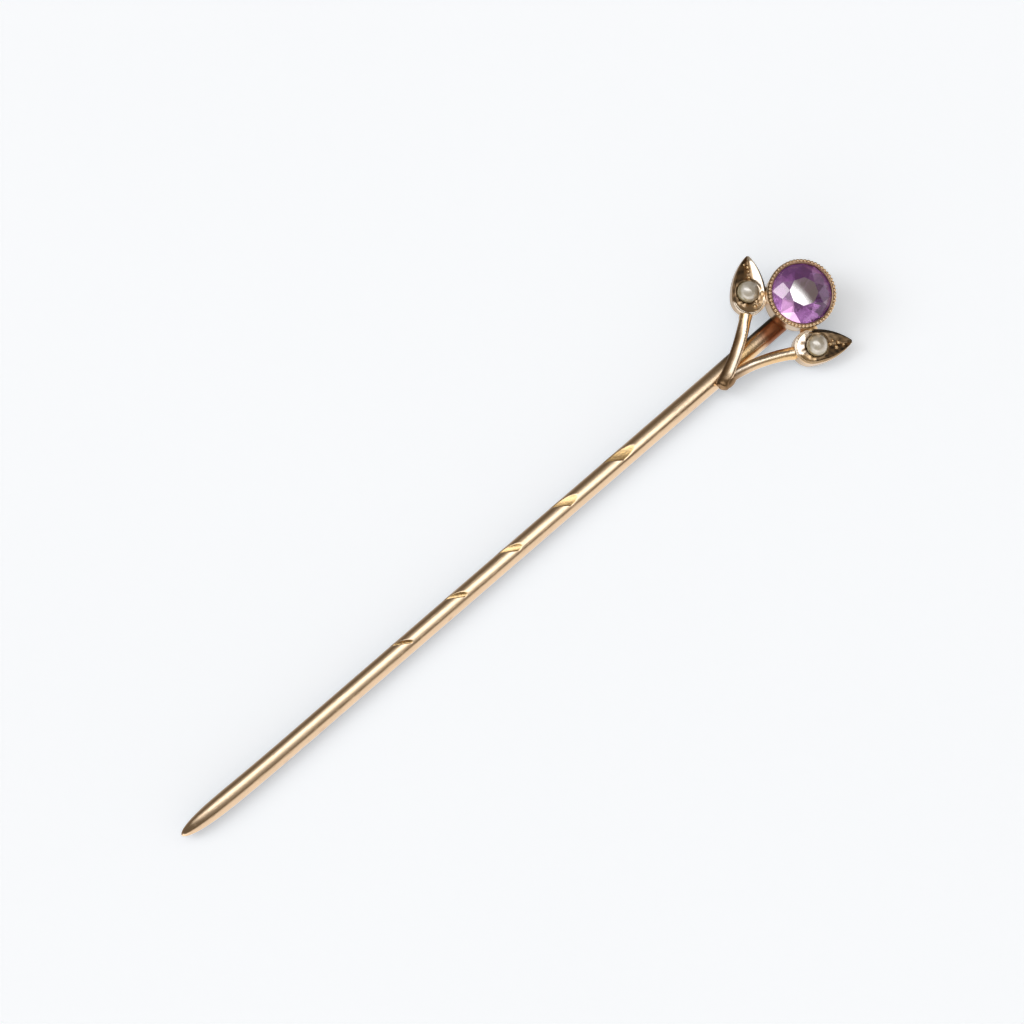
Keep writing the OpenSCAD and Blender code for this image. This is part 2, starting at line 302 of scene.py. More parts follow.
def tube_faces(rings, around, cap_start=None, cap_end=None):
    """Faces of a tube of rings, with the index of a point that closes each end."""
    faces = []
    for i in range(rings - 1):
        for j in range(around):
            k = (j + 1) % around
            faces.append((i * around + j, i * around + k,
                          (i + 1) * around + k, (i + 1) * around + j))
    if cap_start is not None:
        faces += [(cap_start, (j + 1) % around, j) for j in range(around)]
    if cap_end is not None:
        base = (rings - 1) * around
        faces += [(cap_end, base + j, base + (j + 1) % around) for j in range(around)]
    return faces


def grain_noise(p, scale, seed=0.0):
    """Soft random value from -1 to 1 at a point in millimetres."""
    return noise.noise(Vector((p[0] * scale + seed, p[1] * scale - seed, p[2] * scale + 2 * seed)))


# Shader maths

class Wire:
    """A shader socket that can stand in a Python sum. Each sum adds its Math node."""

    def __init__(self, bench, socket):
        self.bench, self.socket = bench, socket

    def maths(self, operation, *others, clamp=False):
        return self.bench.node("ShaderNodeMath", {"operation": operation, "use_clamp": clamp},
                               dict(enumerate((self,) + others)))

    def __add__(self, other):
        return self.maths("ADD", other)

    __radd__ = __add__

    def __mul__(self, other):
        return self.maths("MULTIPLY", other)

    __rmul__ = __mul__

    def __sub__(self, other):
        return self.maths("SUBTRACT", other)

    def __rsub__(self, other):
        return self.bench.node("ShaderNodeMath", {"operation": "SUBTRACT"}, {0: other, 1: self})

    def clip(self):
        return self.maths("ADD", 0.0, clamp=True)

    def step(self, low, high):
        """0 below low and 1 above high, with a smooth rise between."""
        return self.bench.node(
            "ShaderNodeMapRange", {"interpolation_type": "SMOOTHSTEP", "clamp": True},
            {"Value": self, "From Min": low, "From Max": high, "To Min": 0.0, "To Max": 1.0})


class Bench:
    """The node tree of one material or world, with one method that adds any node."""

    def __init__(self, owner):
        owner.use_nodes = True
        self.tree = owner.node_tree
        self.tree.nodes.clear()

    def node(self, kind, settings=None, inputs=None, output=0):
        made = self.tree.nodes.new(kind)
        for key, value in (settings or {}).items():
            setattr(made, key, value)
        for key, value in (inputs or {}).items():
            socket = made.inputs[key]
            if isinstance(value, Wire):
                self.tree.links.new(value.socket, socket)
            else:
                socket.default_value = value
        return Wire(self, made.outputs[output])

    def place(self, scale=(1.0, 1.0, 1.0), turn=(0.0, 0.0, 0.0)):
        """The object's own coordinates in millimetres, turned and stretched for a pattern."""
        at = self.node("ShaderNodeTexCoord", output="Object")
        return self.node("ShaderNodeMapping", {"vector_type": "TEXTURE"},
                         {"Vector": at, "Rotation": turn,
                          "Scale": tuple(MM / s for s in scale)})

    def cloud(self, where, scale, detail=2.0, rough=0.5):
        return self.node("ShaderNodeTexNoise", {"noise_dimensions": "3D"},
                         {"Vector": where, "Scale": scale, "Detail": detail, "Roughness": rough})

    def mark(self, name):
        return self.node("ShaderNodeAttribute", {"attribute_name": name}, output="Fac")

    def blend(self, share, low, high):
        """One colour laid over another by a share."""
        def paint(value):
            return value if isinstance(value, Wire) else (*value, 1.0)
        return self.node("ShaderNodeMix", {"data_type": "RGBA", "clamp_factor": True},
                         {0: share, 6: paint(low), 7: paint(high)}, output=2)

    def finish(self, shader, kind="ShaderNodeOutputMaterial"):
        self.tree.links.new(shader.socket, self.tree.nodes.new(kind).inputs["Surface"])


def tinted(rgb, factor):
    return tuple(min(1.0, c * factor) for c in rgb)


def gold_finish(name, rub=(1.0, 1.0, 1.0), turn=(0.0, 0.0, 0.0), roughness=0.17, bump=1.0,
                film_colour="tarnish"):
    """Worn rose gold. Its marks are a brown film, soot, and filed metal, yellow and rougher."""
    made = bpy.data.materials.new(name)
    bench = Bench(made)
    plain = bench.place()
    soft = bench.cloud(plain, 0.55, 3.0, 0.6)
    fine = bench.cloud(plain, 5.0, 3.0, 0.55)
    rubbed = bench.cloud(bench.place(rub, turn), 9.0, 3.0, 0.6)
    tarnish = bench.mark("tarnish")
    filed = bench.mark("filed")
    soot = bench.mark("soot")
    spots = bench.cloud(plain, 2.2, 4.0, 0.65).step(0.60, 0.78)

    # Film and grime are real tarnish and soot, and also painted shade and dark reflections
    film = (tarnish * (0.75 + soft * 0.5) + spots * 0.10).clip()
    base = bench.blend(soft.step(0.35, 0.70), finish("rose"), tinted(finish("rose"), 0.95))
    base = bench.blend((filed * (0.6 + fine * 0.6)).clip(), base, finish("yellow"))
    # Painted highlight: the bright mark lays the paler gold where a highlight falls
    base = bench.blend(bench.mark("bright"), base, finish("bright_cut"))
    base = bench.blend(film, base, finish(film_colour))
    grime = (soot * (0.7 + fine * 0.6)).clip()
    base = bench.blend(grime, base, finish("soot"))

    rough = (roughness + soft.step(0.4, 0.75) * 0.06 + rubbed.step(0.55, 0.8) * 0.10
             + filed * 0.10 + film * 0.12 + grime * 0.2).clip()
    height = rubbed.step(0.52, 0.80) * 0.5 + fine * (0.35 + filed * 1.6) + spots * 0.3
    normal = bench.node("ShaderNodeBump", {}, {"Strength": 0.35 * bump, "Distance": 0.00003,
                                               "Height": height})
    shader = bench.node("ShaderNodeBsdfPrincipled", {"distribution": "MULTI_GGX"}, {
        "Base Color": base, "Metallic": 1.0, "Roughness": rough, "Normal": normal,
        "Coat Weight": (0.9 - film * 0.7 - grime * 0.7).clip(), "Coat Roughness": 0.14,
        "Coat IOR": 1.9})
    bench.finish(shader)
    return made


# The pearls' warmer zones and their pits
NACRE_WARM, NACRE_PIT = (0.55, 0.50, 0.40), (0.45, 0.38, 0.28)


def pearl_finish():
    made = bpy.data.materials.new("seed_pearl")
    bench = Bench(made)
    plain = bench.place()
    soft = bench.cloud(plain, 1.6, 3.0, 0.6)
    fine = bench.cloud(plain, 9.0, 3.0, 0.6)
    pits = bench.cloud(plain, 5.0, 2.0, 0.5).step(0.62, 0.72)
    base = bench.blend(soft.step(0.35, 0.65), finish("pearl"), NACRE_WARM)
    base = bench.blend(pits * 0.35, base, NACRE_PIT)
    # Painted shade and gold reflection towards the seat
    edge = (bench.mark("edge") * (0.8 + soft * 0.4)).clip()
    base = bench.blend(edge, base, finish("pearl_edge"))
    rough = (0.16 + soft * 0.10 + pits * 0.2).clip()
    normal = bench.node("ShaderNodeBump", {}, {"Strength": 0.3, "Distance": 0.00002,
                                               "Height": fine + pits * 0.8 + soft * 1.5})
    shader = bench.node("ShaderNodeBsdfPrincipled", {"distribution": "MULTI_GGX"}, {
        "Base Color": base, "Roughness": rough, "Normal": normal, "IOR": 1.6,
        "Coat Weight": 1.0, "Coat Roughness": 0.09, "Coat IOR": 2.8})
    bench.finish(shader)
    return made


# How dark the stone's body is painted in its shaded facets, and how much of its colour is painted
# as a glow from inside
STONE_SHADE, STONE_PAINTED_GLOW = 0.45, 0.28


def amethyst_finish(table_middle):
    """Faceted amethyst, with its colour in zones, a table worn slightly domed and fine wear."""
    made = bpy.data.materials.new("cut_amethyst")
    bench = Bench(made)
    plain = bench.place()
    zones = bench.cloud(bench.place((0.35, 1.0, 1.0), (0.0, 0.0, 0.6)), 1.1, 2.0, 0.5)
    fine = bench.cloud(plain, 14.0, 3.0, 0.6)
    away = bench.node("ShaderNodeVectorMath", {"operation": "DISTANCE"},
                      {0: plain, 1: tuple(table_middle)}, output=1)
    dome = away * away * bench.mark("table")
    tone = bench.mark("tone")
    shade = bench.mark("shade")
    base = bench.blend(zones.step(0.35, 0.65), finish("amethyst"), finish("amethyst_pale"))
    # Painted shade on the shaded facets, and painted light on the facets marked with a glint
    base = bench.blend(shade, base, tinted(finish("amethyst"), STONE_SHADE))
    base = bench.blend(tone, base, finish("amethyst_glow"))
    rough = (0.10 + fine.step(0.55, 0.75) * 0.06).clip()
    worn = bench.node("ShaderNodeBump", {}, {"Strength": 1.0, "Distance": MM,
                                             "Height": fine * 0.003 - dome * TABLE_DOME})
    # The body's emission is painted light: a faint glow of its own colour, darker on shaded facets,
    # and a pink glint on some facets
    painted_glow_colour = tinted(finish("amethyst"), STONE_PAINTED_GLOW)
    glow = bench.blend(tone * (0.35 + fine * 0.9), bench.blend(shade, painted_glow_colour, tinted(painted_glow_colour, 0.35)),
                       finish("amethyst_glow"))
    body = bench.node("ShaderNodeBsdfPrincipled", {"distribution": "MULTI_GGX"}, {
        "Base Color": base, "Roughness": rough, "IOR": 1.544, "Transmission Weight": 1.0,
        "Coat Weight": 0.5, "Coat Roughness": 0.04, "Coat IOR": 1.55,
        "Emission Color": glow, "Emission Strength": 0.75})
    gloss = bench.node("ShaderNodeBsdfAnisotropic", {"distribution": "MULTI_GGX"}, {
        "Color": (1.0, 1.0, 1.0, 1.0), "Roughness": 0.06, "Normal": worn})
    bench.finish(bench.node("ShaderNodeMixShader", {},
                            {0: bench.mark("mirror"), 1: body, 2: gloss}))
    return made


# The stem

STEM_AROUND = 96


def stem_radius(stem, x):
    point = np.clip(x / stem.point, 0, 1)
    ogive = stem.diameter / 2 * np.sqrt(np.clip(1 - (1 - point) ** 3, 0, 1))
    taper = (stem.head_diameter - stem.diameter) / 2
    return ogive + taper * np.clip((x - stem.plain_end) / (stem.end - stem.plain_end), 0, 1)


# Radius of the scoop's floor nearest the head and nearest the point, and how far the steep
# wall of a scoop leans
SCOOP_WIDE, SCOOP_NARROW, SCOOP_WALL = 3.0, 0.2, 0.05


def scoop_radii(stem):
    """Radius of each scoop's floor, from the head to the point."""
    ratio = SCOOP_NARROW / SCOOP_WIDE
    return [SCOOP_WIDE * ratio ** (i / (stem.scoops - 1)) for i in range(stem.scoops)]


def cut_scoops(stem, points, marks):
    """Lowers the points that lie in a scoop to its floor, and marks the filed floor."""
    side, slant = stem.scoop_side, stem.scoop_slant
    for i, radius in enumerate(scoop_radii(stem)):
        at = np.array([stem.scoop_first - i * stem.scoop_pitch, 0, 0])
        q = points - at
        y, up = turned(q[:, 1], q[:, 2], side)
        along, across = turned(q[:, 0], y, slant)
        floor = (stem.diameter / 2 + radius - stem.scoop_depth
                 - np.sqrt(np.clip(radius ** 2 - np.clip(across, 0, radius) ** 2, 0, None)))
        floor = floor + np.clip(-across / SCOOP_WALL, 0, 1) * (stem.scoop_depth + 0.1)
        inside = (across > -SCOOP_WALL) & (across < radius) & (up > floor) & (up > 0)
        depth = np.where(inside, up - floor, 0)
        q[:, 0], y = turned(along, across, -slant)
        q[:, 1], q[:, 2] = turned(y, up - depth, -side)
        points[:] = q + at
        marks["filed"] = np.maximum(marks["filed"], smooth_step(depth / 0.03))
        # Painted shade: a dark line along the steep wall of each scoop
        near = smooth_step(1 - np.abs(across + 0.02) / 0.05) * (depth > 0.01)
        marks["tarnish"] = np.maximum(marks["tarnish"], 0.8 * near)


# Small knocks on the stem's right flank: distance from the tip, height round the stem in
# degrees from its right side, size
KNOCKS = [(8.2, 20, 0.28), (9.6, 8, 0.22), (11.3, 24, 0.3), (12.9, 12, 0.2), (14.6, 18, 0.26),
          (22.4, 30, 0.2), (31.0, 16, 0.24), (44.2, 22, 0.2)]


# Rings of the stem: those that round the tip, the stretch with the scoops, where they lie
# close, and their spacing along the point, the scoops and the head
TIP_RINGS = [0.003, 0.01, 0.03, 0.06, 0.1, 0.15, 0.22, 0.3, 0.4]
CLOSE_FROM, CLOSE_TO = 17.6, 40.2
POINT_STEP, SCOOP_STEP, HEAD_STEP = 0.2, 0.045, 0.25
# Where along the stem the red film, which also paints the shade under the head, the filed gold
# round the foot, and the painted shade lie: first on the upper left flank, then all round under the
# collet
RED_AND_SHADE_FROM, FILED_AT, SHADE_FROM, SHADE_ALL_ROUND = 50.2, 49.0, 46.0, 50.6


def build_stem():
    stem = sizes("stem")
    xs = np.unique(np.round(np.concatenate([
        TIP_RINGS, np.arange(0.5, CLOSE_FROM, POINT_STEP),
        np.arange(CLOSE_FROM, CLOSE_TO, SCOOP_STEP),
        np.arange(CLOSE_TO + 0.1, stem.end - 0.2, HEAD_STEP),
        [stem.end - 0.15, stem.end - 0.06]]), 4))
    turns = np.arange(STEM_AROUND) * 2 * math.pi / STEM_AROUND
    grid_x = np.repeat(xs, STEM_AROUND)
    turn = np.tile(turns, len(xs))
    radius = stem_radius(stem, grid_x)
    radius = np.where(grid_x > stem.end - 0.1, radius - 0.08, radius)
    points = np.stack([grid_x, radius * np.cos(turn), radius * np.sin(turn)], 1)
    marks = {"filed": np.zeros(len(points)), "tarnish": np.zeros(len(points))}
    cut_scoops(stem, points, marks)
    for x, lift, size in KNOCKS:
        centre = np.array([x, -stem.diameter / 2 * math.cos(math.radians(lift)),
                           stem.diameter / 2 * math.sin(math.radians(lift))])
        gap = np.linalg.norm((points - centre) / [1.6, 1, 1], axis=1)
        dent = smooth_step(1 - gap / size) * 0.03
        points[:, 1:] *= (1 - dent / np.maximum(radius, 0.05))[:, None]
        marks["tarnish"] = np.maximum(marks["tarnish"], smooth_step(1 - gap / size) * 0.3)
    # The red film behind the head also paints the shade where the stem runs under the head
    marks["tarnish"] = np.maximum(marks["tarnish"], smooth_step((grid_x - RED_AND_SHADE_FROM) / 1.2))
    marks["filed"] = np.maximum(marks["filed"],
                                smooth_step(1 - np.abs(grid_x - FILED_AT) / 1.8) * 0.9)
    # Painted shade and dark reflection on the stem's upper left flank towards the head, and a
    # little all round under the collet
    leftward = np.cos(turn + ROLL)
    marks["soot"] = (smooth_step((leftward - 0.3) / 0.4) * smooth_step((grid_x - SHADE_FROM) / 3.0)
                     + 0.3 * smooth_step((grid_x - SHADE_ALL_ROUND) / 1.0))
    bent = np.clip(1 - grid_x / stem.bend_from, 0, 1) ** 2
    points[:, 1] += stem.bend * bent
    ends = np.array([[0.0, stem.bend, 0.0], [stem.end, 0.0, 0.0]])
    total = len(points)
    faces = tube_faces(len(xs), STEM_AROUND, total, total + 1)
    marks = {k: np.append(v, [v[0], v[-1]]) for k, v in marks.items()}
    material = gold_finish("rose_gold_stem", rub=(0.12, 1.0, 1.0), roughness=0.15,
                           film_colour="rust")
    build_seat(material)
    piece("stem", on_stem(np.vstack([points, ends])), faces, material, marks=marks,
          turn_out=False)


# The squared underside of the stem's end: where it starts and ends along the stem, half its
# width, how far it lies below the stem's axis, and its rounded edge
SEAT_FROM, SEAT_TO, SEAT_HALF, SEAT_DEEP, SEAT_EDGE = 53.47, 56.07, 0.5, 0.65, 0.03


def build_seat(material):
    """The pin rests on this small flat without rocking. It is turned level with the surface."""
    work = bmesh.new()
    bmesh.ops.create_cube(work, size=1.0)
    bmesh.ops.bevel(work, geom=work.edges, offset=SEAT_EDGE, segments=3, affect="EDGES",
                    clamp_overlap=True)
    size = np.array([SEAT_TO - SEAT_FROM, 2 * SEAT_HALF, SEAT_DEEP])
    flat, faces = taken(work)
    flat = flat * size + [(SEAT_FROM + SEAT_TO) / 2, 0, -SEAT_DEEP / 2]
    flat[:, 1], flat[:, 2] = turned(flat[:, 1], flat[:, 2], -ROLL)
    marks = {"tarnish": np.full(len(flat), 0.5), "filed": np.full(len(flat), 0.4),
             "soot": np.full(len(flat), 0.1)}
    piece("stem_seat", on_stem(flat), faces, material, marks=marks, smooth=False)


# Swept wires

def swept(path, halves, heights, around=64, lean=0.0):
    """Rings of a wire along a path that stays level. Lean moves its ridge off the middle."""
    tangent = np.gradient(path, axis=0)
    tangent /= np.linalg.norm(tangent, axis=1)[:, None]
    side = np.stack([-tangent[:, 1], tangent[:, 0], np.zeros(len(path))], 1)
    side /= np.linalg.norm(side, axis=1)[:, None]
    up = np.cross(tangent, side)
    turns = np.arange(around) * 2 * math.pi / around
    px, py = np.cos(turns), np.sin(turns)
    lean = np.broadcast_to(lean, len(path))
    rings = []
    for i in range(len(path)):
        across = px + lean[i] * np.clip(py, 0, 1) ** 2 * (1 - 0.3 * np.abs(px))
        rings.append(path[i] + side[i] * (across * halves[i])[:, None]
                     + up[i] * (py * heights[i])[:, None])
    return np.vstack(rings), len(path), around


def arc_between(p, q, turn, side, steps):
    """Points of the arc from p to q that turns by turn about a centre on the given side."""
    p, q = np.array(p, float), np.array(q, float)
    chord = np.linalg.norm(q - p)
    radius = chord / (2 * math.sin(turn / 2))
    left = np.array([p[1] - q[1], q[0] - p[0]]) / chord
    centre = (p + q) / 2 + side * left * radius * math.cos(turn / 2)
    start = p - centre
    return np.array([centre + turned(start[0], start[1], side * turn * i / steps)
                     for i in range(steps + 1)])


def arm_path(side):
    """The middle line of one arm in the head's frame, as the solids have it."""
    stalk, leaf, pearl = sizes("stalk"), sizes("leaf"), sizes("pearl")
    _, _, shift, _ = leaf_facts(side)
    foot = (-stalk.foot_back, stalk.foot_left)
    end = leaf_point([[0.15 - leaf.width / 2 - pearl.fore, 0.17 + shift, 0]], side)[0, :2]
    turn = math.radians(15 if side > 0 else 28)
    flat = arc_between(foot, end, turn, side, 40)
    return np.column_stack([flat, np.full(len(flat), stalk.height)])


# How far the foot runs on past the place where the arms meet, and its half width there
FOOT_PAST = [(0.0, 0.46), (0.12, 0.475), (0.24, 0.48), (0.34, 0.465), (0.42, 0.42),
             (0.47, 0.35), (0.50, 0.25), (0.515, 0.12)]


# The way the foot runs on, and half the right arm's width where it leaves the left one
FOOT_TOWARDS = (-0.985, -0.17)
RIGHT_ROOT = 0.36


def build_stalk():
    """The left arm runs down into the rounded foot in one, and the right arm joins it."""
    stalk = sizes("stalk")
    material = gold_finish("rose_gold_stalk", rub=(0.25, 1.0, 1.0),
                           turn=(0.0, 0.0, math.radians(11)), roughness=0.16)
    for side, name, end in ((1, "left_arm", stalk.left_end), (-1, "right_arm", stalk.right_end)):
        path = arm_path(side)
        t = np.linspace(0, 1, len(path))
        if side > 0:
            half = end / 2 - 0.02 + 0.045 * smooth_step(1 - t / 0.45)
            high = half
            back = np.array([path[0] + [d * FOOT_TOWARDS[0], d * FOOT_TOWARDS[1], 0]
                             for d, _ in FOOT_PAST[:0:-1]])
            foot = np.array([h for _, h in FOOT_PAST[:0:-1]])
            path, half = np.vstack([back, path]), np.append(foot, half)
            high = np.append(foot * 1.02, high)
            t = np.append(np.zeros(len(foot)), t)
            lean = -0.42 * smooth_step(t / 0.12) * smooth_step((1.0 - t) / 0.35)
        else:
            half = RIGHT_ROOT + (end / 2 - RIGHT_ROOT) * smooth_step((t - 0.15) / 0.85)
            high = half + 0.04 * smooth_step(1 - t / 0.4)
            lean = 0.25 * smooth_step((0.75 - t) / 0.5)
        flare = smooth_step((t - 0.88) / 0.12) * 0.04
        path[:, 2] -= 0.01
        rings, count, around = swept(path, half + flare, high + flare, lean=lean)
        for k, p in enumerate(rings):
            rings[k] = p + [0, 0, 0.014 * grain_noise(p, 1.4, 5.0 + side)]
        ends = np.array([path[0], path[-1]])
        faces = tube_faces(count, around, len(rings), len(rings) + 1)
        share = np.append(np.repeat(t, around), [0, 1])
        turn = np.append(np.tile(np.arange(around) * 2 * math.pi / around, count), [0, 0])
        leftward, upward = np.cos(turn), np.sin(turn)
        # Painted shade: the left arm's left flank and the foot are darker, and near the foot so is
        # the right arm's lower flank
        if side > 0:
            brown = (smooth_step((leftward - 0.30) / 0.35) * (upward > -0.2)
                     * smooth_step((0.97 - share) / 0.35))
            brown = np.maximum(brown, smooth_step(1 - share / 0.12) * (upward > -0.1))
        else:
            brown = (smooth_step((-leftward + 0.1) / 0.4) * (upward > 0.1)
                     * smooth_step(1 - share / 0.4))
        # Painted highlight along each arm's ridge
        ridge = smooth_step((leftward + 0.35) / 0.2) * smooth_step((0.5 - leftward) / 0.2)
        # Filing at the leaf end. On the left arm's right flank and the right arm's lower flank, the
        # filed yellow paints a reflection of the surface
        marks = {"tarnish": 0.95 * brown, "soot": 0.3 * brown,
                 "bright": 0.75 * ridge * (upward > 0) * smooth_step((share - 0.08) / 0.1),
                 "filed": np.maximum(smooth_step((share - 0.80) / 0.2),
                                     0.7 * smooth_step((share - 0.35) / 0.4) * (leftward < 0.1))}
        piece(name, on_head(np.vstack([rings, ends])), faces, material, marks=marks)
    foot = [-stalk.foot_back + 0.12, stalk.foot_left - 0.16, stalk.height - 0.03]
    blob("stalk_web", foot, [0.72, 0.44, 0.42], math.radians(-12), material,
         {"tarnish": 0.9, "soot": 0.25, "filed": 0.0}, 2.0, lump=0.03)


# The collet

COLLET_AROUND = 144
# Film and soot on each ring of the wall, in the order of its outline. The dark rings under the
# beads also paint the shade between the beads, and the rings inside the seat are darker
RIM_TARNISH_AND_SHADE = [0.3, 0.3, 0.2, 0.15, 0.15, 0.15, 0.2, 0.4, 0.7, 0.7, 0.6, 0.6, 0.7, 0.8,
               0.8, 0.8, 0.8, 0.8]
RIM_SOOT_AND_SHADE = [0, 0, 0, 0, 0, 0, 0, 0.35, 0.8, 0.6, 0.2, 0.1, 0.2, 0.3, 0.5, 0.5, 0.5, 0.5]


# Radius of the collet's open back, and the clearance round the stone in its seat
COLLET_BORE, SEAT_CLEAR = 1.7, 0.01


def build_collet():
    collet, stone = sizes("collet"), sizes("stone")
    foot_r, rim_r = collet.foot_radius, collet.rim_radius
    foot_h, rim_h = collet.foot_height, collet.rim_height
    bore, seat_r = COLLET_BORE, stone.diameter / 2 + SEAT_CLEAR
    # Closed outline of the wall, from the foot up the outside and down the inside
    wall = [(bore, foot_h), (foot_r - 0.06, foot_h), (foot_r, foot_h + 0.05),
            (foot_r + 0.03, foot_h + 0.5), (foot_r + 0.07, foot_h + 1.1),
            (rim_r - 0.02, rim_h - 0.42), (rim_r, rim_h - 0.30),
            (rim_r - 0.01, rim_h - 0.22), (rim_r - 0.08, rim_h - 0.10),
            (rim_r - 0.17, rim_h - 0.05), (rim_r - 0.25, rim_h - 0.03),
            (rim_r - 0.29, rim_h - 0.06), (seat_r - 0.03, rim_h - 0.12),
            (seat_r - 0.02, rim_h - 0.17),
            (seat_r, stone.girdle + 0.05), (seat_r, stone.girdle - 0.06),
            (bore, stone.girdle - 0.32), (bore - 0.01, foot_h + 0.8)]
    turns = np.arange(COLLET_AROUND) * 2 * math.pi / COLLET_AROUND
    points, tarnish, filed, soot = [], [], [], []
    for k, (r, h) in enumerate(wall):
        for a in turns:
            wave = 0.008 * math.sin(3 * a + 1) + 0.006 * math.sin(7 * a)
            points.append([(r + wave) * math.cos(a), (r + wave) * math.sin(a), h])
            tarnish.append(RIM_TARNISH_AND_SHADE[k])
            filed.append(0.6 if k < 6 else 0.3)
            soot.append(RIM_SOOT_AND_SHADE[k])
    around, rings = COLLET_AROUND, len(wall)
    faces = tube_faces(rings, around)
    last = (rings - 1) * around
    faces += [(last + j, last + (j + 1) % around, (j + 1) % around, j) for j in range(around)]
    material = gold_finish("rose_gold_collet", rub=(1.0, 1.0, 0.4), roughness=0.2)
    marks = {"tarnish": tarnish, "filed": filed, "soot": soot}
    piece("collet", on_head(points), faces, material, marks=marks)


def repeat_tree(name, inputs):
    """A geometry node tree with named inputs, which the caller fills."""
    tree = bpy.data.node_groups.new(name, "GeometryNodeTree")
    tree.interface.new_socket("Geometry", in_out="INPUT", socket_type="NodeSocketGeometry")
    for title, kind, value in inputs:
        socket = tree.interface.new_socket(title, in_out="INPUT", socket_type=kind)
        if value is not None:
            socket.default_value = value
    tree.interface.new_socket("Geometry", in_out="OUTPUT", socket_type="NodeSocketGeometry")
    return tree, tree.nodes.new("NodeGroupInput"), tree.nodes.new("NodeGroupOutput")


def add(tree, kind, settings=None, **inputs):
    """A geometry node, with its settings first and then its values and links."""
    made = tree.nodes.new(kind)
    for key, value in (settings or {}).items():
        setattr(made, key, value)
    for key, value in inputs.items():
        socket = made.inputs[key.replace("_", " ")]
        if hasattr(value, "is_linked"):
            tree.links.new(value, socket)
        else:
            socket.default_value = value
    return made


def scatter(tree, source, sink, points, ball, scale):
    """Sets a ball on each point, then realizes and dresses them as the tree's result."""
    spread = add(tree, "GeometryNodeInstanceOnPoints", Points=points, Instance=ball, Scale=scale)
    real = add(tree, "GeometryNodeRealizeInstances", Geometry=spread.outputs["Instances"])
    dressed = add(tree, "GeometryNodeSetMaterial", Geometry=real.outputs["Geometry"],
                  Material=source.outputs["Material"])
    tree.links.new(dressed.outputs["Geometry"], sink.inputs["Geometry"])


def grown(name, tree, values, start=None):
    """The plain mesh that a geometry node tree makes from start, with its inputs set."""
    mesh = start or bpy.data.meshes.new(name + "_start")
    obj = bpy.data.objects.new(name, mesh)
    bpy.context.scene.collection.objects.link(obj)
    modifier = obj.modifiers.new("grow", "NODES")
    modifier.node_group = tree
    for item in tree.interface.items_tree:
        if item.item_type == "SOCKET" and item.in_out == "INPUT" and item.name in values:
            modifier[item.identifier] = values[item.name]
    obj.update_tag()
    bpy.context.view_layer.update()
    graph = bpy.context.evaluated_depsgraph_get()
    result = bpy.data.meshes.new_from_object(obj.evaluated_get(graph))
    obj.modifiers.remove(modifier)
    obj.data = result
    return obj


def settle(obj, place, marks, node="gold_mount"):
    """Moves a grown mesh, made in millimetres, to its place and hands it over."""
    mesh = obj.data
    flat = np.zeros(len(mesh.vertices) * 3)
    mesh.vertices.foreach_get("co", flat)
    local = flat.reshape(-1, 3)
    for mark, value in marks.items():
        layer = mesh.attributes.new(mark, "FLOAT", "POINT")
        layer.data.foreach_set("value", np.full(len(local), value, np.float32)
                               if np.isscalar(value) else np.asarray(value(local), np.float32))
    mesh.vertices.foreach_set("co", (place(local) * MM).ravel())
    turn_outwards(mesh)
    mesh.polygons.foreach_set("use_smooth", [True] * len(mesh.polygons))
    mesh.update()
    hand_over(obj, node)


def millegrain_tree():
    tree, source, sink = repeat_tree("millegrain", [
        ("Ring radius", "NodeSocketFloat", 2.2), ("Beads", "NodeSocketInt", 56),
        ("Bead radius", "NodeSocketFloat", 0.11), ("Unevenness", "NodeSocketFloat", 0.12),
        ("Seed", "NodeSocketInt", 4), ("Material", "NodeSocketMaterial", None)])
    ring = add(tree, "GeometryNodeMeshCircle", Vertices=source.outputs["Beads"],
               Radius=source.outputs["Ring radius"])
    bead = add(tree, "GeometryNodeMeshIcoSphere", Subdivisions=2,
               Radius=source.outputs["Bead radius"])
    low = add(tree, "ShaderNodeMath", {"operation": "SUBTRACT"})
    low.inputs[0].default_value = 1.0
    tree.links.new(source.outputs["Unevenness"], low.inputs[1])
    high = add(tree, "ShaderNodeMath", {"operation": "ADD"})
    high.inputs[0].default_value = 1.0
    tree.links.new(source.outputs["Unevenness"], high.inputs[1])
    size = add(tree, "FunctionNodeRandomValue", {"data_type": "FLOAT"},
               Seed=source.outputs["Seed"])
    floats = [s for s in size.inputs if s.type == "VALUE"]
    tree.links.new(low.outputs[0], floats[0])
    tree.links.new(high.outputs[0], floats[1])
    sizes_out = [s for s in size.outputs if s.type == "VALUE"][0]
    scatter(tree, source, sink, ring.outputs["Mesh"], bead.outputs["Mesh"], sizes_out)
    return tree


def build_millegrain():
    collet = sizes("collet")
    material = gold_finish("rose_gold_beads", roughness=0.2, bump=0.6)
    ring_r = collet.rim_radius - collet.bead_radius
    obj = grown("millegrain", millegrain_tree(), {
        "Ring radius": ring_r, "Beads": collet.beads, "Bead radius": collet.bead_radius,
        "Unevenness": 0.07, "Seed": 4, "Material": material})
    lift = collet.rim_height - 0.045

    def place(local):
        return on_head(local + [0, 0, lift])

    settle(obj, place, {"tarnish": 0.05, "filed": 0.3})


# The leaves

def leaf_outline(radius, reach, steps=28):
    """Outline of a leaf round the centre of its round end, with the tip towards +X."""
    big = (reach * reach + radius * radius) / (2 * radius)
    sweep = math.asin(reach / big)
    side = [(big * math.sin(t), big * math.cos(t) - (big - radius))
            for t in (sweep * (1 - i / steps) for i in range(steps))]
    ends = [(radius * math.cos(t), radius * math.sin(t))
            for t in (math.radians(90 + 180 * i / steps) for i in range(steps + 1))]
    back = [(x, -y) for x, y in side[:0:-1]]
    return np.array(side + ends + back)


